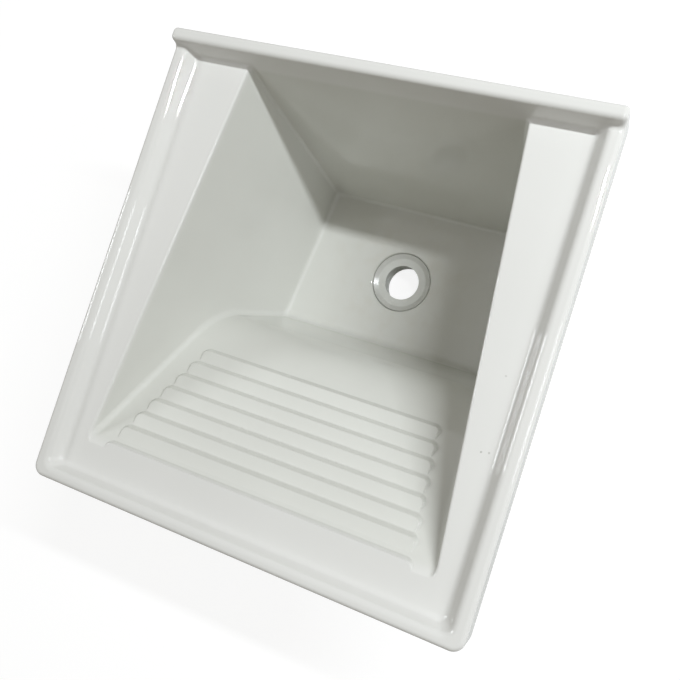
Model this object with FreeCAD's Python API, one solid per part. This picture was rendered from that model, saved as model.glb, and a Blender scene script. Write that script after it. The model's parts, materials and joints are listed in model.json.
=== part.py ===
import FreeCAD, Part
import math
import os

from FreeCAD import Vector

# Laundry tub with a moulded washboard, and its waste fitting. Millimetres.
# +Z up, the washboard at -Y, the raised back ledge at +Y. The origin is the centre of
# the lip's lower edge, the flat ring by which the tub hangs in its frame or counter.

# Overall size of the rim, and heights measured from the lip's lower edge and the deck
overall_width = 500.0
overall_depth = 521.5
deck_height = 22.0
rim_height = 15.0
ledge_height = 29.0

# Rim, ledge and lip
side_rim_band = 24.0
front_rim_band = 20.0
side_slope_run = 10.0
front_slope_run = 8.0
lip_thickness = 9.0
front_corner_radius = 13.0
pocket_corner_radius = 11.0
lip_inner_radius = 6.0
ledge_round = 5.5
rim_round = 5.0
rim_inner_round = 8.0
pocket_foot_round = 8.0

# Bowl
wall_thickness = 6.0
bowl_depth = 285.0
back_side_deck = 67.0
front_side_deck = 21.5
front_deck = 32.0
ledge_foot_depth = 19.2
back_wall_run = 47.2
front_wall_run = 31.1
side_wall_run = 33.0
bowl_corner_radius = 6.5
bowl_edge_round = 2.5
back_corner_radius = 5.0
floor_front_radius = 12.0

# Washboard
washboard_angle = 35.4
washboard_drop = 128.6
washboard_bend_radius = 105.0
step_count = 8
step_pitch = 21.8
step_height = 5.0
step_drop_run = 7.5
step_gap = 1.0
step_corner_radius = 6.0
top_step_setback = 4.8
top_step_room = 25.5
step_margin_top = 17.5
step_margin_low = 24.0

# Waste fitting
drain_offset = 4.8
outlet_diameter = 60.3
outlet_length = 10.0
outlet_wall = 3.0
outlet_shoulder = 2.4
tail_below_nut = 4.0
throat_lip = 3.5
throat_lip_thickness = 2.8
land_width = 9.6
dish_run = 6.2
dish_rise = 2.9
flange_edge_width = 0.8
flange_edge_drop = 0.7
flange_setdown = 1.6
flange_seal_thickness = 1.5
under_washer_thickness = 2.5
slip_ring_thickness = 1.2
washer_overhang = 2.5
nut_thickness = 8.0
nut_wall = 6.5
nut_lug_count = 6
nut_lug_width = 12.0
nut_lug_height = 5.0
nut_lug_bevel = 2.0
recess_flare = 0.4
recess_lip_bevel = 1.4
seat_thickness = 5.0
boss_wall = 6.0
tail_clearance = 0.6
flange_clearance = 0.3
nut_clearance = 0.2

# Places that follow from the sizes above
half_width = overall_width / 2
front_y = -overall_depth / 2
back_y = overall_depth / 2
deck_z = deck_height
rim_z = deck_z + rim_height
ledge_z = deck_z + ledge_height
floor_z = deck_z - bowl_depth
bowl_back_width = overall_width - 2 * (side_rim_band + back_side_deck)
bowl_front_width = overall_width - 2 * (side_rim_band + front_side_deck)
ledge_foot_y = back_y - ledge_foot_depth
bowl_front_y = front_y + front_rim_band + front_deck
slope = math.radians(washboard_angle)
bend_z = deck_z - washboard_drop
bend_y = bowl_front_y + washboard_drop / math.tan(slope)
floor_back_y = ledge_foot_y - back_wall_run
floor_front_y = bend_y + front_wall_run
drain_y = (floor_back_y + floor_front_y) / 2 - drain_offset
reach = overall_width + overall_depth
tolerance = 0.01

# Levels of the waste fitting, from the flange down to the outlet
rim_of_flange_z = floor_z - flange_setdown
land_z = rim_of_flange_z - dish_rise
flange_z = land_z - throat_lip_thickness
seat_z = flange_z - flange_seal_thickness
boss_z = seat_z - seat_thickness
washer_z = boss_z - under_washer_thickness
slip_z = washer_z - slip_ring_thickness
nut_z = slip_z - nut_thickness
tail_end_z = nut_z - tail_below_nut
outlet_z = tail_end_z - outlet_length

# Radii of the waste fitting, from the throat out to the recess in the floor
outlet_radius = outlet_diameter / 2
tail_radius = outlet_radius + outlet_shoulder
bore_radius = outlet_radius - outlet_wall
throat_radius = bore_radius - throat_lip
land_radius = throat_radius + land_width
dish_radius = land_radius + dish_run
flange_radius = dish_radius + flange_edge_width
seat_radius = flange_radius + flange_clearance
recess_radius = seat_radius + recess_flare
hole_radius = tail_radius + tail_clearance
nut_bore = tail_radius + nut_clearance
nut_radius = nut_bore + nut_wall

# Tilt of a step's tread from the washboard's face, and how steep its drop and ends are from the tread
step_tread = step_pitch - step_drop_run - step_gap
step_tilt = math.atan(step_height / step_tread)
step_steepness = math.atan(step_height / step_drop_run) + step_tilt

# Rates at which the bowl's side walls and back wall lean
side_flare = (bowl_front_width - bowl_back_width) / 2 / (ledge_foot_y - bowl_front_y)
side_lean = side_wall_run / bowl_depth
back_lean = (ledge_foot_y - floor_back_y) / bowl_depth


def back_wall_y(z):
    """Where the bowl's back wall, which is also the ledge's front face, stands at height z."""
    return ledge_foot_y + (z - deck_z) * back_lean


def side_wall_x(y, z, outward=0.0):
    """Half width of the bowl at a point, with its side wall moved outward."""
    tilt = math.sqrt(1 + side_flare ** 2 + side_lean ** 2)
    on_wall = bowl_back_width / 2 + (ledge_foot_y - y) * side_flare + (z - deck_z) * side_lean
    return on_wall + outward * tilt


def flat_face(points):
    return Part.Face(Part.makePolygon(list(points) + [points[0]]))


def block_between(lower, upper):
    """Solid between two four-cornered outlines whose side faces are flat."""
    faces = [flat_face(lower), flat_face(upper)]
    for i in range(4):
        j = (i + 1) % 4
        faces.append(flat_face([lower[i], lower[j], upper[j], upper[i]]))
    shell = Part.makeShell(faces)
    shell.sewShape()
    solid = Part.makeSolid(shell)
    if solid.Volume < 0:
        solid.reverse()
    return solid


def section_prism(section, half_length):
    """Solid with the given (y, z) section, running from -half_length to +half_length in X."""
    face = flat_face([Vector(-half_length, y, z) for y, z in section])
    return face.extrude(Vector(2 * half_length, 0, 0))


def line_crossing(line_a, line_b):
    """Crossing of two lines in the YZ plane, each a point and a direction."""
    (ay, az), (ady, adz) = line_a
    (by, bz), (bdy, bdz) = line_b
    across = ady * bdz - adz * bdy
    along = ((by - ay) * bdz - (bz - az) * bdy) / across
    return ay + ady * along, az + adz * along


def bowl_section(outward, top_z):
    """Bowl's section in the YZ plane, its walls moved outward, cut off at top_z."""
    corners = [
        (ledge_foot_y, deck_z),
        (floor_back_y, floor_z),
        (floor_front_y, floor_z),
        (bend_y, bend_z),
        (bowl_front_y, deck_z),
    ]
    walls = []
    for (y0, z0), (y1, z1) in zip(corners, corners[1:]):
        length = math.hypot(y1 - y0, z1 - z0)
        run, rise = (y1 - y0) / length, (z1 - z0) / length
        walls.append(((y0 - rise * outward, z0 + run * outward), (run, rise)))
    level = ((0.0, top_z), (1.0, 0.0))
    lines = [level] + walls + [level]
    return [line_crossing(a, b) for a, b in zip(lines, lines[1:])]


def edges_where(solid, holds, unless=None):
    """Edges along which a test holds all the way, leaving out those where another does."""
    found = []
    for edge in solid.Edges:
        if edge.Length < tolerance:
            continue
        points = edge.discretize(7)
        if all(holds(p) for p in points) and not (unless and all(unless(p) for p in points)):
            found.append(edge)
    return found


def edges_along_x(solid, y, z):
    """Edges that run in the X direction through the point (y, z) of the section."""
    return edges_where(solid, lambda p: math.hypot(p.y - y, p.z - z) < tolerance)


def upright_edges(solid, y):
    """Edges of a solid at the given y that don't lie level."""
    def leaves_level(edge):
        box = edge.BoundBox
        return box.ZMax - box.ZMin > 1
    return [e for e in edges_where(solid, lambda p: abs(p.y - y) < tolerance) if leaves_level(e)]


def bowl_solid(outward, top_z):
    """Bowl's space, or with its walls moved outward the block that the bowl's wall fills."""
    section = bowl_section(outward, top_z)
    prism = section_prism(section, reach)
    prism = prism.makeFillet(floor_front_radius + outward, edges_along_x(prism, *section[2]))
    prism = prism.makeFillet(washboard_bend_radius - outward, edges_along_x(prism, *section[3]))
    low_z = floor_z - reach
    outlines = []
    for z in (low_z, top_z + reach):
        outlines.append([
            Vector(-side_wall_x(-reach, z, outward), -reach, z),
            Vector(side_wall_x(-reach, z, outward), -reach, z),
            Vector(side_wall_x(reach, z, outward), reach, z),
            Vector(-side_wall_x(reach, z, outward), reach, z),
        ])
    bowl = prism.common(block_between(*outlines))

    def on_side_wall(p):
        return abs(abs(p.x) - side_wall_x(p.y, p.z, outward)) < tolerance

    def at_top_or_back(p):
        return abs(p.z - top_z) < tolerance or p.y > back_wall_y(p.z) - tolerance

    side_edges = edges_where(bowl, on_side_wall, unless=at_top_or_back)
    return bowl.makeFillet(bowl_corner_radius + outward, side_edges)


def bowl_wall_block():
    """Block that the bowl's wall fills, with its back edges rounded like the others."""
    top_z = deck_z - wall_thickness / 2
    bowl = bowl_solid(wall_thickness, top_z)
    tilt = math.sqrt(1 + back_lean ** 2)

    def on_back(p):
        return abs(p.y - back_wall_y(p.z) - wall_thickness * tilt) < tolerance

    back_edges = edges_where(bowl, on_back, unless=lambda p: abs(p.z - top_z) < tolerance)
    return bowl.makeFillet(back_corner_radius + wall_thickness, back_edges)


def front_of_back_wall():
    """All the space in front of the bowl's back wall and the ledge's front face."""
    low_z = floor_z - reach
    high_z = ledge_z + reach
    section = [
        (-reach, low_z),
        (back_wall_y(low_z), low_z),
        (back_wall_y(high_z), high_z),
        (-reach, high_z),
    ]
    return section_prism(section, reach)


def deck_pocket():
    """Space above the deck, between the rims and the ledge."""
    top_z = rim_z + rim_height
    x = half_width - side_rim_band
    y = front_y + front_rim_band
    top_x = x + 2 * side_slope_run
    top_y = y - 2 * front_slope_run
    lengthwise = section_prism([(y, deck_z), (reach, deck_z), (reach, top_z), (top_y, top_z)], reach)
    crosswise = flat_face([
        Vector(-x, -reach, deck_z),
        Vector(x, -reach, deck_z),
        Vector(top_x, -reach, top_z),
        Vector(-top_x, -reach, top_z),
    ]).extrude(Vector(0, 3 * reach, 0))
    pocket = lengthwise.common(crosswise)
    corners = [e for e in pocket.Edges if e.BoundBox.ZLength > 1 and e.BoundBox.YMax < 0]
    pocket = pocket.makeFillet(pocket_corner_radius, corners)
    foot = edges_where(
        pocket,
        lambda p: abs(p.z - deck_z) < tolerance,
        unless=lambda p: p.y > reach - tolerance,
    )
    return pocket.makeFillet(pocket_foot_round, foot)


def open_space():
    """Everything that is open above the tub: the bowl and the pocket over its deck."""
    pocket = deck_pocket().common(front_of_back_wall())
    bowl = bowl_solid(0.0, deck_z + rim_height / 2)
    space = pocket.fuse(bowl).removeSplitter()

    def on_brim(p):
        in_width = abs(p.x) < side_wall_x(p.y, deck_z) + tolerance
        return abs(p.z - deck_z) < tolerance and in_width and p.y > bowl_front_y - tolerance

    brim = edges_where(space, on_brim, unless=lambda p: p.y > ledge_foot_y - tolerance)
    return space.makeFillet(bowl_edge_round, brim)


def rim_block():
    """Rim and ledge as one block over the whole outline, down to the lip's lower edge."""
    section = [
        (front_y, 0.0),
        (front_y, rim_z),
        (back_wall_y(rim_z), rim_z),
        (back_wall_y(ledge_z), ledge_z),
        (back_y, ledge_z),
        (back_y, 0.0),
    ]
    block = section_prism(section, half_width)
    ledge_top = edges_along_x(block, *section[3]) + edges_along_x(block, *section[4])
    block = block.makeFillet(ledge_round, ledge_top)
    return block.makeFillet(front_corner_radius, upright_edges(block, front_y))


def lip_hollow():
    """Hollow under the deck, inside the turned-down lip."""
    x = half_width - lip_thickness
    y = back_y - lip_thickness
    hollow = Part.makeBox(2 * x, 2 * y, deck_z - wall_thickness + reach, Vector(-x, -y, -reach))
    return hollow.makeFillet(lip_inner_radius, [e for e in hollow.Edges if e.BoundBox.ZLength > 1])


def round_rim(shell):
    """Round the rim's inner edge, the foot of the back wall and ledge, then the outer edges."""
    def on_rim_top(p):
        return abs(p.z - rim_z) < tolerance

    def on_back_wall(p):
        return abs(p.y - back_wall_y(p.z)) < tolerance

    def on_side_face(p):
        return abs(abs(p.x) - half_width) < tolerance

    slope_x = half_width - side_rim_band + side_slope_run
    slope_y = front_y + front_rim_band - front_slope_run

    def in_pocket(p):
        return on_rim_top(p) and abs(p.x) < slope_x + tolerance and p.y > slope_y - tolerance

    shell = shell.makeFillet(rim_inner_round, edges_where(shell, in_pocket, unless=on_back_wall))

    def on_foot(p):
        return on_back_wall(p) and p.z < ledge_z - ledge_round * (1 + back_lean)

    shell = shell.makeFillet(back_corner_radius, edges_where(shell, on_foot, unless=on_side_face))

    def on_outer_top(p):
        at_front = on_rim_top(p) and not (abs(p.x) < slope_x and p.y > slope_y - rim_inner_round)
        return on_side_face(p) or at_front

    def stays_sharp(p):
        return abs(p.z) < tolerance or abs(p.y - front_y - front_corner_radius) < tolerance

    outer = edges_where(shell, on_outer_top, unless=stays_sharp)
    return shell.makeFillet(rim_round, outer)


def washboard_point(along):
    """Point (y, z) on the washboard, measured down the slope from its top edge."""
    return bowl_front_y + along * math.cos(slope), deck_z - along * math.sin(slope)


def step_crest(index):
    """How far down the slope a step's crest lies. The top step has more room below it."""
    if index == 0:
        return top_step_setback
    return top_step_setback + top_step_room + (index - 1) * step_pitch


def step_half_length(along):
    """Steps end short of the bowl's sides by a margin that widens down the slope."""
    y, z = washboard_point(along)
    share = (along - step_crest(0)) / (step_crest(step_count - 1) - step_crest(0))
    margin = step_margin_top + (step_margin_low - step_margin_top) * share
    return side_wall_x(y, z) - margin


def step_outline(half, spread, z):
    """Outline of a step's slab at one level: square above, with round corners at its lower side."""
    x = half + spread
    y = spread
    radius = step_corner_radius + spread
    turn = radius * (1 - math.sqrt(0.5))
    top_y = -step_pitch
    right_start = Vector(x, y - radius, z)
    right_end = Vector(x - radius, y, z)
    left_start = Vector(radius - x, y, z)
    left_end = Vector(-x, y - radius, z)
    edges = [
        Part.makeLine(Vector(x, top_y, z), right_start),
        Part.Arc(right_start, Vector(x - turn, y - turn, z), right_end).toShape(),
        Part.makeLine(right_end, left_start),
        Part.Arc(left_start, Vector(turn - x, y - turn, z), left_end).toShape(),
        Part.makeLine(left_end, Vector(-x, top_y, z)),
        Part.makeLine(Vector(-x, top_y, z), Vector(x, top_y, z)),
    ]
    return Part.Wire(edges)


def washboard_step(along):
    """Slab with sloping sides, tilted so that its upper side is sunk and its lower side stands out."""
    depth = step_height + wall_thickness
    half = step_half_length(along) - step_drop_run
    low = step_outline(half, depth / math.tan(step_steepness), -depth)
    slab = Part.makeLoft([low, step_outline(half, 0.0, 0.0)], True, True)
    slab.rotate(Vector(0, 0, 0), Vector(1, 0, 0), math.degrees(step_tilt))
    slab.translate(Vector(0, along, step_height))
    slab.rotate(Vector(0, 0, 0), Vector(1, 0, 0), -washboard_angle)
    slab.translate(Vector(0, bowl_front_y, deck_z))
    return slab


def step_space():
    """Space that the steps may fill: from inside the washboard's wall up to the deck's level."""
    def raised(along, height):
        y, z = washboard_point(along)
        return y + height * math.sin(slope), z + height * math.cos(slope)
    sunk = -wall_thickness / 2
    section = [raised(-reach, sunk), raised(reach, sunk), raised(reach, reach), raised(-reach, reach)]
    below_deck = section_prism([(-reach, -reach), (reach, -reach), (reach, deck_z), (-reach, deck_z)], reach)
    return section_prism(section, reach).common(below_deck)


def add_steps(shell):
    """Put the steps on the washboard."""
    space = step_space()
    steps = [washboard_step(step_crest(i)).common(space) for i in range(step_count)]
    return shell.fuse(steps).removeSplitter()


def turned(points):
    """Solid turned about the drain's upright axis from (radius, z) points."""
    outline = [Vector(r, drain_y, z) for r, z in points]
    return flat_face(outline).revolve(Vector(0, drain_y, 0), Vector(0, 0, 1), 360)


def ring(inner, outer, low_z, high_z):
    return turned([(inner, low_z), (outer, low_z), (outer, high_z), (inner, high_z)])


def add_drain(shell):
    """Thicken the floor round the drain, sink the flange's recess into it, pierce it and bevel its lip."""
    boss_radius = recess_radius + boss_wall
    boss = turned([(0, boss_z), (boss_radius - boss_wall, boss_z), (boss_radius, floor_z - wall_thickness),
                   (boss_radius, floor_z - wall_thickness / 2), (0, floor_z - wall_thickness / 2)])
    recess = turned([(0, seat_z), (seat_radius, seat_z), (recess_radius, floor_z),
                     (recess_radius, floor_z + wall_thickness), (0, floor_z + wall_thickness)])
    hole = turned([(0, boss_z - 1), (hole_radius, boss_z - 1), (hole_radius, floor_z), (0, floor_z)])
    shell = shell.fuse(boss).cut(recess).cut(hole).removeSplitter()

    def on_recess_lip(p):
        off_circle = math.hypot(p.x, p.y - drain_y) - recess_radius
        return abs(p.z - floor_z) < tolerance and abs(off_circle) < tolerance

    return shell.makeChamfer(recess_lip_bevel, edges_where(shell, on_recess_lip))


def tub_shell():
    """One moulding: bowl, washboard, deck, rim, back ledge and turned-down lip."""
    shell = rim_block().cut(lip_hollow()).fuse(bowl_wall_block())
    shell = shell.cut(open_space()).removeSplitter()
    shell = round_rim(shell)
    shell = add_steps(shell)
    return add_drain(shell)


def waste_body():
    """Dished flange with an open throat, over a tail for the nut and a slimmer outlet for the pipe."""
    return turned([
        (throat_radius, land_z),
        (land_radius, land_z),
        (dish_radius, rim_of_flange_z),
        (flange_radius, rim_of_flange_z - flange_edge_drop),
        (flange_radius, flange_z),
        (tail_radius, flange_z),
        (tail_radius, tail_end_z),
        (outlet_radius, tail_end_z),
        (outlet_radius, outlet_z),
        (bore_radius, outlet_z),
        (bore_radius, flange_z),
        (throat_radius, flange_z),
    ])


def flange_seal():
    return ring(hole_radius, flange_radius, seat_z, flange_z)


def under_washer():
    return ring(nut_bore, nut_radius + washer_overhang, washer_z, boss_z)


def slip_ring():
    return ring(nut_bore, nut_radius + washer_overhang, slip_z, washer_z)


def back_nut():
    """Plain ring nut with lugs for the hand round its edge."""
    nut = ring(nut_bore, nut_radius, nut_z, slip_z)
    for i in range(nut_lug_count):
        length = nut_radius - nut_bore + nut_lug_height
        corner = Vector(nut_bore + nut_wall / 2, drain_y - nut_lug_width / 2, nut_z)
        lug = Part.makeBox(length - nut_wall / 2, nut_lug_width, nut_thickness, corner)
        outer = [e for e in lug.Edges if e.BoundBox.XMin > nut_radius and e.BoundBox.ZLength > 1]
        lug = lug.makeChamfer(nut_lug_bevel, outer)
        lug.rotate(Vector(0, drain_y, 0), Vector(0, 0, 1), 360 * i / nut_lug_count)
        nut = nut.fuse(lug)
    return nut.removeSplitter()


nodes = {
    "tub_shell": tub_shell,
    "waste_body": waste_body,
    "flange_seal": flange_seal,
    "under_washer": under_washer,
    "slip_ring": slip_ring,
    "back_nut": back_nut,
}

os.makedirs("parts", exist_ok=True)
for name, make in nodes.items():
    make().exportStep("parts/" + name + ".step")
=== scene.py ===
import json
import math

import bmesh
import bpy
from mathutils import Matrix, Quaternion, Vector


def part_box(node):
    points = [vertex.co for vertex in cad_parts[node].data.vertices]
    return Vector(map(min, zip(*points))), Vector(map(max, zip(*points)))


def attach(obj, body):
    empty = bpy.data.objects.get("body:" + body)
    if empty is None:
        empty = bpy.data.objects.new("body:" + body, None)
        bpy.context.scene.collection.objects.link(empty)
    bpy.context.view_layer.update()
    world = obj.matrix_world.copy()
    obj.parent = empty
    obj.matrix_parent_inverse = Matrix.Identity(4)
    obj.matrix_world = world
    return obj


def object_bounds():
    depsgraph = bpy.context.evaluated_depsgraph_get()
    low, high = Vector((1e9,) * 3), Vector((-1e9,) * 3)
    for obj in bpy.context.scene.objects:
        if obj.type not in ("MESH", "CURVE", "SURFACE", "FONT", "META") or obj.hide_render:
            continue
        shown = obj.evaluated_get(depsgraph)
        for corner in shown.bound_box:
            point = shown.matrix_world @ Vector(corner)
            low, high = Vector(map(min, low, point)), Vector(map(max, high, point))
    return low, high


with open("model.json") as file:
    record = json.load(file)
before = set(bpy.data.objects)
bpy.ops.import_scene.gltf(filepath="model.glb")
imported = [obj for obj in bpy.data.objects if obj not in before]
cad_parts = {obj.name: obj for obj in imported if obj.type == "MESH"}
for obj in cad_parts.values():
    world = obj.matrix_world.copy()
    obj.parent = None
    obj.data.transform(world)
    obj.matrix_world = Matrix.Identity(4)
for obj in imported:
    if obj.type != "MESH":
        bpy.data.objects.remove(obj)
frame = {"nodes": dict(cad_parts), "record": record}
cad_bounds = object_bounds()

# Laundry tub, metres, in the frame of its solids: +Z up, washboard at -Y, back ledge at +Y.

# Photograph's camera
image_pixels = 680
focal_pixels = 791.2
sensor_width = 36.0
nearest_seen = 0.01
camera_place = Vector((0.3102, -0.0538, 0.7768))
camera_target = Vector((0.0424, -0.0199, 0.022))
camera_roll = math.radians(-65.26)

# Ceiling tube above the back right of the tub, lying along X; its leans are shares of its height
tube_height = 2.4
tube_lean_right = 0.625
tube_lean_back = 0.353
tube_length = 1.34
tube_breadth = 0.10
tube_power = 73.0
lamp_colour = (0.93, 0.97, 1.0)

# Soft lamps beside the tub: turn from the back towards the right, height as an angle, power
soft_lamps = {
    "left": (math.radians(270), math.radians(42), 19.0),
    "right": (math.radians(90), math.radians(42), 13.5),
}
soft_lamp_distance = 3.0
soft_lamp_size = 0.7

# Surroundings: faint fill light, and a floor that the camera sees as a glow with a thin shade over it
fill_strength = 0.15
fill_colour = (1.0, 0.88, 0.68)
white = (1.0, 1.0, 1.0)
white_strength = 1.0
floor_half_size = 6.0
floor_shade = (0.8, 0.8, 0.8)
floor_seen_shade = (0.2, 0.2, 0.2)
floor_glow = 0.86

# Hidden back of the moulding: lower than a height, further in than the lip, and facing away from the mouth
shell_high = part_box("tub_shell")[1]
mouth_middle = (0.0, 0.05, 0.02)
hidden_height = 0.0165
hidden_inset = 0.0088

# Face of the moulding: painted light and shade, a lighter colour on the deck and a darker, warmer one in the
# bowl; stained round the drain
waste_low, waste_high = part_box("waste_body")
drain_centre = ((waste_low[0] + waste_high[0]) / 2, (waste_low[1] + waste_high[1]) / 2, waste_high[2])
# Heights between which the bowl's painted shade takes over from the deck's lighter colour
lit_deck_height = 0.022
shaded_bowl_height = 0.013
stain_near = 0.03
stain_far = 0.16
stain_share = 0.30

# Specks on the right deck, each with its strength
specks = {(0.2104, -0.0816, 0.022): 0.45, (0.2178, -0.0801, 0.022): 0.32, (0.2115, -0.0064, 0.022): 0.25}
speck_radius = 0.0011
speck_spread = 1.8

# Painted shade on the waste's flange: a grey band towards its rim, by distance from the drain's axis
rim_shade_start = 0.0325
rim_shade_full = 0.035

# Colours; of a pair, the finish wanders between the two
# Painted light and shade: the deck's colour is the lit copy, the bowl's the darker, warmer shaded copy
face_deck_lit = ((0.742, 0.738, 0.714), (0.757, 0.753, 0.729))
face_bowl_shaded = ((0.675, 0.677, 0.638), (0.689, 0.691, 0.652))
face_stain = (0.61, 0.585, 0.51)
face_speck = (0.16, 0.14, 0.11)
sprayed_back = ((0.65, 0.645, 0.615), (0.74, 0.735, 0.705))
waste_white = ((0.71, 0.715, 0.685), (0.68, 0.685, 0.65))
# Painted shade: grey for the flange's sloping rim
flange_rim_shade_colour = (0.59, 0.59, 0.56)
seal_grey = ((0.33, 0.33, 0.32), (0.40, 0.40, 0.385))
ring_white = ((0.70, 0.70, 0.66), (0.78, 0.78, 0.75))
nut_white = ((0.74, 0.75, 0.73), (0.82, 0.83, 0.81))

# Roughness; a pair goes from smooth to rough
face_roughness = (0.02, 0.045)
back_roughness = 0.62
waste_roughness = (0.16, 0.3)
seal_roughness = (0.62, 0.85)
ring_roughness = (0.36, 0.5)
nut_roughness = (0.4, 0.55)

# Relief and depth of the finishes
face_refraction = 1.5
edge_softness = 0.002
wave_depth = 0.0012
peel_depth = 0.00002
strand_depth = 0.0006
turned_angle_per_metre = 9000.0
turned_depth = 0.000008
waste_wave_depth = 0.0002
seal_grain_depth = 0.00012
ring_grain_depth = 0.00005
ring_translucence = 0.08
nut_grain_depth = 0.00006

# Thread on the tail, between the nut and the outlet; its ends rise to full height at the fade's rate
outlet = next(m for m in frame["record"]["mounts"] if m["name"] == "waste_outlet")
outlet_top = outlet["pos_m"][2] + outlet["dims"]["length_mm"] / 2000
nut_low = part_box("back_nut")[0][2]
thread_pitch = 0.0023
thread_root = -0.0006
thread_rise = 0.0002
thread_half_width = 0.0008
thread_crest = 0.0002
thread_end_gap = 0.0009
thread_fade = 6.0
thread_steps = 72

nodes = frame["nodes"]


class Finish:
    """A material's node tree, with short calls for the nodes that the finishes share."""

    # The mix node's two inputs and its output, for each kind of value
    mix_sockets = {"FLOAT": (2, 3, 0), "VECTOR": (4, 5, 1), "RGBA": (6, 7, 2)}

    def __init__(self, name):
        self.material = bpy.data.materials.new(name)
        self.material.use_nodes = True
        self.tree = self.material.node_tree
        self.shader = self.tree.nodes["Principled BSDF"]
        self.place = self.tree.nodes.new("ShaderNodeTexCoord").outputs["Object"]

    def node(self, kind, **settings):
        made = self.tree.nodes.new(kind)
        for key, value in settings.items():
            setattr(made, key, value)
        return made

    def feed(self, socket, value):
        """Link a node's output to a socket, or set the socket to a constant."""
        if isinstance(value, bpy.types.NodeSocket):
            self.tree.links.new(value, socket)
        elif socket.type == "RGBA":
            socket.default_value = (*value, 1.0)
        else:
            socket.default_value = value

    def set(self, **values):
        """Set the shader's sockets by name, with _ for a space."""
        for key, value in values.items():
            self.feed(self.shader.inputs[key.replace("_", " ")], value)

    def math(self, operation, a, b=0.0):
        made = self.node("ShaderNodeMath", operation=operation)
        self.feed(made.inputs[0], a)
        self.feed(made.inputs[1], b)
        return made.outputs[0]

    def vector_math(self, operation, a, b=(0.0, 0.0, 0.0), output="Vector"):
        made = self.node("ShaderNodeVectorMath", operation=operation)
        self.feed(made.inputs[0], a)
        self.feed(made.inputs[1], b)
        return made.outputs[output]

    def noise(self, scale, detail=2.0, roughness=0.5, stretch=(1.0, 1.0, 1.0)):
        """Noise whose scale is in features per metre, stretched along the axes."""
        made = self.node("ShaderNodeTexNoise")
        self.feed(made.inputs["Vector"], self.vector_math("MULTIPLY", self.place, stretch))
        made.inputs["Scale"].default_value = scale
        made.inputs["Detail"].default_value = detail
        made.inputs["Roughness"].default_value = roughness
        return made.outputs["Fac"]

    def span(self, value, low, high, to_low=0.0, to_high=1.0):
        """Map low..high of a value smoothly to another range, held at its ends."""
        made = self.node("ShaderNodeMapRange", interpolation_type="SMOOTHSTEP")
        self.feed(made.inputs["Value"], value)
        made.inputs["From Min"].default_value = low
        made.inputs["From Max"].default_value = high
        made.inputs["To Min"].default_value = to_low
        made.inputs["To Max"].default_value = to_high
        return made.outputs["Result"]

    def cloud(self, low, high, **texture):
        """Noise with more contrast: 0 up to low and 1 from high."""
        return self.span(self.noise(**texture), low, high)

    def mix(self, share, first, second, kind="RGBA"):
        """Colour, number or vector between two others."""
        made = self.node("ShaderNodeMix", data_type=kind)
        first_input, second_input, output = self.mix_sockets[kind]
        self.feed(made.inputs["Factor"], share)
        self.feed(made.inputs[first_input], first)
        self.feed(made.inputs[second_input], second)
        return made.outputs[output]

    def bump(self, height, depth, below=None):
        """Normal for a surface raised by a height from 0 to 1 times a depth in metres."""
        made = self.node("ShaderNodeBump")
        made.inputs["Strength"].default_value = 1.0
        made.inputs["Distance"].default_value = depth
        self.feed(made.inputs["Height"], height)
        if below is not None:
            self.feed(made.inputs["Normal"], below)
        return made.outputs["Normal"]

    def axes(self, vector):
        """A vector's three parts, by X, Y and Z."""
        made = self.node("ShaderNodeSeparateXYZ")
        self.feed(made.inputs[0], vector)
        return made.outputs

    def height(self):
        return self.axes(self.place)["Z"]

    def distance(self, point):
        return self.vector_math("DISTANCE", self.place, point, output="Value")


def back_of_moulding(finish):
    """1 on the tub's hidden outside, under the deck and round the bowl; 0 on its glossy face."""
    geometry = finish.node("ShaderNodeNewGeometry")
    from_middle = finish.vector_math("SUBTRACT", finish.place, mouth_middle)
    facing = finish.vector_math("DOT_PRODUCT", geometry.outputs["Normal"], from_middle, output="Value")
    outward = finish.math("GREATER_THAN", facing, 0.0)
    below = finish.math("LESS_THAN", finish.height(), hidden_height)
    reach = finish.axes(finish.vector_math("ABSOLUTE", finish.place))
    inside_x = finish.math("LESS_THAN", reach["X"], shell_high[0] - hidden_inset)
    inside_y = finish.math("LESS_THAN", reach["Y"], shell_high[1] - hidden_inset)
    inside = finish.math("MULTIPLY", inside_x, inside_y)
    hidden = finish.math("MULTIPLY", below, outward)
    return finish.math("MULTIPLY", hidden, inside)


def face_colour(finish):
    """Glossy white with painted light and shade, lighter on the deck and darker and warmer in the bowl,
    faintly stained near the drain, with specks on the deck.
    """
    patches = finish.cloud(scale=5.0, detail=3.0, low=0.35, high=0.65)
    deck_lit = finish.mix(patches, *face_deck_lit)
    bowl_shaded = finish.mix(patches, *face_bowl_shaded)
    # Painted shade: below the deck the colour turns to the bowl's darker, warmer copy
    shaded_share = finish.span(finish.height(), shaded_bowl_height, lit_deck_height, 1.0, 0.0)
    colour = finish.mix(shaded_share, deck_lit, bowl_shaded)
    near_drain = finish.span(finish.distance(drain_centre), stain_near, stain_far, stain_share, 0.0)
    stain = finish.math("MULTIPLY", near_drain, finish.cloud(scale=38.0, detail=5.0, low=0.42, high=0.7))
    colour = finish.mix(stain, colour, face_stain)
    for speck, strength in specks.items():
        uneven = finish.math("MULTIPLY", finish.noise(scale=900.0, detail=1.0), speck_radius)
        off = finish.math("ADD", finish.distance(speck), uneven)
        share = finish.span(off, speck_radius, speck_spread * speck_radius, strength, 0.0)
        colour = finish.mix(share, colour, face_speck)
    return colour


def face_relief(finish):
    """Slow waves and a fine peel over softened edges."""
    soft_edges = finish.node("ShaderNodeBevel", samples=4)
    soft_edges.inputs["Radius"].default_value = edge_softness
    peel = finish.bump(finish.noise(scale=240.0, detail=1.0), peel_depth, below=soft_edges.outputs["Normal"])
    return finish.bump(finish.noise(scale=9.0, detail=1.0), wave_depth, below=peel)


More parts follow.
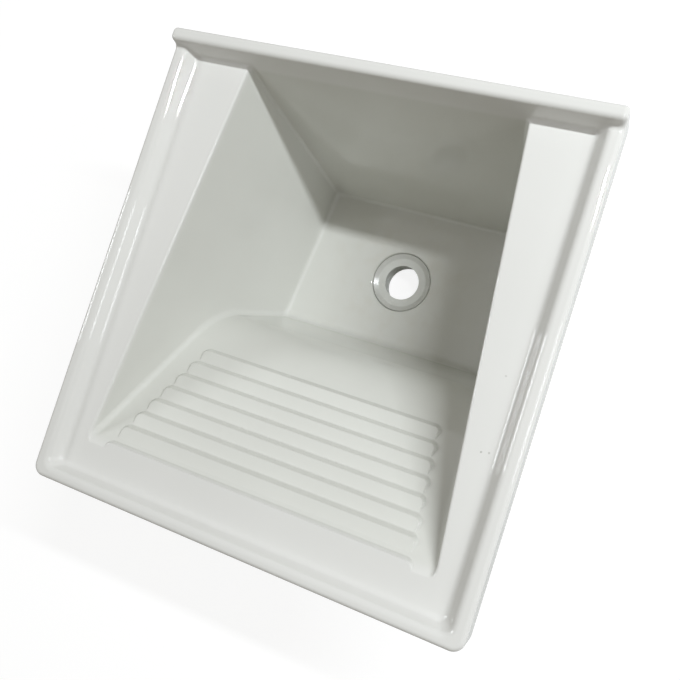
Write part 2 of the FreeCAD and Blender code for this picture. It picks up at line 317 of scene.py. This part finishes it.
def gelcoat():
    """Glossy face with faint smears, and a matte back of sprayed strands."""
    finish = Finish("gelcoat")
    back = back_of_moulding(finish)
    strands = finish.cloud(
        scale=150.0, detail=4.0, roughness=0.7, stretch=(1.0, 0.35, 1.0), low=0.35, high=0.65,
    )
    sprayed = finish.mix(strands, *sprayed_back)
    smear = finish.noise(scale=26.0, detail=4.0, roughness=0.6)
    gloss = finish.span(smear, 0.3, 0.75, *face_roughness)
    finish.set(
        Base_Color=finish.mix(back, face_colour(finish), sprayed),
        Roughness=finish.mix(back, gloss, back_roughness, kind="FLOAT"),
        Normal=finish.mix(back, face_relief(finish), finish.bump(strands, strand_depth), kind="VECTOR"),
        IOR=face_refraction,
    )
    return finish.material


def waste_plastic():
    """White moulded plastic with turned marks and painted shade, a grey band, on the flange's sloping rim.
    """
    finish = Finish("waste_plastic")
    around = finish.vector_math("SUBTRACT", finish.place, drain_centre)
    flat = finish.vector_math("MULTIPLY", around, (1.0, 1.0, 0.0))
    radius = finish.vector_math("LENGTH", flat, output="Value")
    turned = finish.math("SINE", finish.math("MULTIPLY", radius, turned_angle_per_metre))
    waves = finish.bump(finish.noise(scale=30.0), waste_wave_depth)
    cloud = finish.cloud(scale=60.0, detail=4.0, low=0.35, high=0.7)
    # Painted shade: the flange turns grey towards its rim
    rim_shade = finish.span(radius, rim_shade_start, rim_shade_full)
    finish.set(
        Base_Color=finish.mix(rim_shade, finish.mix(cloud, *waste_white), flange_rim_shade_colour),
        Roughness=finish.span(finish.noise(scale=70.0, detail=3.0), 0.3, 0.7, *waste_roughness),
        Normal=finish.bump(turned, turned_depth, below=waves),
    )
    return finish.material


def seal_rubber():
    """Matte grey rubber with a dusty bloom."""
    finish = Finish("seal_rubber")
    bloom = finish.cloud(scale=90.0, detail=5.0, roughness=0.65, low=0.4, high=0.75)
    finish.set(
        Base_Color=finish.mix(bloom, *seal_grey),
        Roughness=finish.span(bloom, 0.0, 1.0, *seal_roughness),
        Normal=finish.bump(finish.noise(scale=700.0, detail=3.0), seal_grain_depth),
    )
    return finish.material


def ring_plastic():
    """Natural nylon, slightly clouded."""
    finish = Finish("ring_plastic")
    cloud = finish.cloud(scale=120.0, detail=3.0, low=0.3, high=0.7)
    finish.set(
        Base_Color=finish.mix(cloud, *ring_white),
        Roughness=finish.span(cloud, 0.0, 1.0, *ring_roughness),
        Normal=finish.bump(finish.noise(scale=500.0, detail=2.0), ring_grain_depth),
        Subsurface_Weight=ring_translucence,
    )
    return finish.material


def nut_plastic():
    """Moulded white plastic with a fine spark-eroded grain."""
    finish = Finish("nut_plastic")
    cloud = finish.cloud(scale=45.0, detail=4.0, low=0.3, high=0.7)
    finish.set(
        Base_Color=finish.mix(cloud, *nut_white),
        Roughness=finish.span(finish.noise(scale=300.0), 0.3, 0.7, *nut_roughness),
        Normal=finish.bump(finish.noise(scale=1400.0, detail=2.0), nut_grain_depth),
    )
    return finish.material


def tail_radius():
    """Radius of the fitting's tail just under the nut."""
    below_nut = [v.co for v in nodes["waste_body"].data.vertices if v.co.z < nut_low]
    return max(math.hypot(p.x - drain_centre[0], p.y - drain_centre[1]) for p in below_nut)


def thread_section(rise):
    """Corners of the ridge's section: how far out from the tail, and how far up."""
    return (
        (thread_root, -thread_half_width),
        (rise, -thread_crest),
        (rise, thread_crest),
        (thread_root, thread_half_width),
    )


def tail_thread(material):
    """Screw thread on the tail, one ridge that fades out at both ends."""
    tail = tail_radius()
    low = outlet_top + thread_end_gap
    high = nut_low - thread_end_gap
    turns = (high - low) / thread_pitch
    count = int(turns * thread_steps)
    mesh = bmesh.new()
    rings = []
    for i in range(count + 1):
        share = i / count
        angle = 2 * math.pi * turns * share
        fade = min(1.0, thread_fade * share, thread_fade * (1 - share))
        rise = thread_root + (thread_rise - thread_root) * fade
        middle = low + (high - low) * share
        ring = []
        for out, up in thread_section(rise):
            radius = tail + out
            x = drain_centre[0] + radius * math.cos(angle)
            y = drain_centre[1] + radius * math.sin(angle)
            ring.append(mesh.verts.new((x, y, middle + up)))
        rings.append(ring)
    for first, second in zip(rings, rings[1:]):
        for j in range(len(first)):
            k = (j + 1) % len(first)
            mesh.faces.new((first[j], first[k], second[k], second[j]))
    mesh.faces.new(rings[0][::-1])
    mesh.faces.new(rings[-1])
    bmesh.ops.recalc_face_normals(mesh, faces=mesh.faces)
    data = bpy.data.meshes.new("tail_thread")
    mesh.to_mesh(data)
    mesh.free()
    data.materials.append(material)
    piece = bpy.data.objects.new("tail_thread", data)
    bpy.context.scene.collection.objects.link(piece)
    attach(piece, "root")


def dress(finishes):
    """Give each solid its finish."""
    for name, material in finishes.items():
        slots = nodes[name].data.materials
        slots.clear()
        slots.append(material)


def add_floor():
    """Pale floor under the outlet, almost white to the camera, that still takes the tub's shadow."""
    bpy.ops.mesh.primitive_plane_add(size=2 * floor_half_size, location=(0.0, 0.0, cad_bounds[0][2]))
    floor = bpy.context.object
    floor.name = "floor"
    finish = Finish("floor")
    light_path = finish.node("ShaderNodeLightPath")
    paper = finish.node("ShaderNodeBsdfDiffuse")
    finish.feed(paper.inputs["Color"], floor_shade)
    thin_paper = finish.node("ShaderNodeBsdfDiffuse")
    finish.feed(thin_paper.inputs["Color"], floor_seen_shade)
    glow = finish.node("ShaderNodeEmission")
    finish.feed(glow.inputs["Strength"], floor_glow)
    shown = finish.node("ShaderNodeAddShader")
    finish.feed(shown.inputs[0], thin_paper.outputs[0])
    finish.feed(shown.inputs[1], glow.outputs[0])
    surface = finish.node("ShaderNodeMixShader")
    finish.feed(surface.inputs[0], light_path.outputs["Is Camera Ray"])
    finish.feed(surface.inputs[1], paper.outputs[0])
    finish.feed(surface.inputs[2], shown.outputs[0])
    finish.feed(finish.tree.nodes["Material Output"].inputs["Surface"], surface.outputs[0])
    floor.data.materials.append(finish.material)


def add_world():
    """Faint warm light from all round, shown to the camera and in reflections as white."""
    world = bpy.data.worlds.new("surroundings")
    bpy.context.scene.world = world
    world.use_nodes = True
    tree = world.node_tree
    light_path = tree.nodes.new("ShaderNodeLightPath")
    fill = tree.nodes["Background"]
    fill.inputs["Color"].default_value = (*fill_colour, 1.0)
    fill.inputs["Strength"].default_value = fill_strength
    backdrop = tree.nodes.new("ShaderNodeBackground")
    backdrop.inputs["Color"].default_value = (*white, 1.0)
    backdrop.inputs["Strength"].default_value = white_strength
    seen = light_path.outputs["Is Camera Ray"]
    for kind in ("Is Glossy Ray", "Is Transmission Ray"):
        either = tree.nodes.new("ShaderNodeMath")
        either.operation = "MAXIMUM"
        tree.links.new(seen, either.inputs[0])
        tree.links.new(light_path.outputs[kind], either.inputs[1])
        seen = either.outputs[0]
    choice = tree.nodes.new("ShaderNodeMixShader")
    tree.links.new(seen, choice.inputs[0])
    tree.links.new(fill.outputs[0], choice.inputs[1])
    tree.links.new(backdrop.outputs[0], choice.inputs[2])
    tree.links.new(choice.outputs[0], tree.nodes["World Output"].inputs["Surface"])


def area_lamp(name, place, length, breadth, power):
    """Rectangular lamp that shines straight down until it is turned."""
    lamp = bpy.data.lights.new(name, "AREA")
    lamp.shape = "RECTANGLE"
    lamp.size = length
    lamp.size_y = breadth
    lamp.energy = power
    lamp.color = lamp_colour
    holder = bpy.data.objects.new(name, lamp)
    holder.location = place
    bpy.context.scene.collection.objects.link(holder)
    return holder


def add_lamps():
    """A tube, whose shadows are crisp from front to back and soft sideways, and faint soft lamps."""
    aim = Vector(drain_centre)
    tube = aim + tube_height * Vector((tube_lean_right, tube_lean_back, 1.0))
    area_lamp("tube", tube, tube_length, tube_breadth, tube_power)
    for name, (turn, rise, power) in soft_lamps.items():
        level = math.cos(rise)
        towards = Vector((level * math.sin(turn), level * math.cos(turn), math.sin(rise)))
        place = aim + soft_lamp_distance * towards
        lamp = area_lamp(name, place, soft_lamp_size, soft_lamp_size, power)
        lamp.rotation_mode = "QUATERNION"
        lamp.rotation_quaternion = (-towards).to_track_quat("-Z", "Y")


def add_camera():
    """Camera at the photograph's place, turned about its own axis as the photograph is."""
    camera = bpy.data.cameras.new("photo")
    camera.sensor_width = sensor_width
    camera.lens = focal_pixels * sensor_width / image_pixels
    camera.clip_start = nearest_seen
    holder = bpy.data.objects.new("photo", camera)
    holder.location = camera_place
    holder.rotation_mode = "QUATERNION"
    level = (camera_target - camera_place).to_track_quat("-Z", "Y")
    holder.rotation_quaternion = level @ Quaternion((0.0, 0.0, 1.0), camera_roll)
    bpy.context.scene.collection.objects.link(holder)
    bpy.context.scene.camera = holder


fitting = waste_plastic()
rubber = seal_rubber()
dress({
    "tub_shell": gelcoat(),
    "waste_body": fitting,
    "flange_seal": rubber,
    "under_washer": rubber,
    "slip_ring": ring_plastic(),
    "back_nut": nut_plastic(),
})
tail_thread(fitting)
add_floor()
add_world()
add_lamps()
add_camera()
bpy.context.scene.view_settings.view_transform = "Standard"
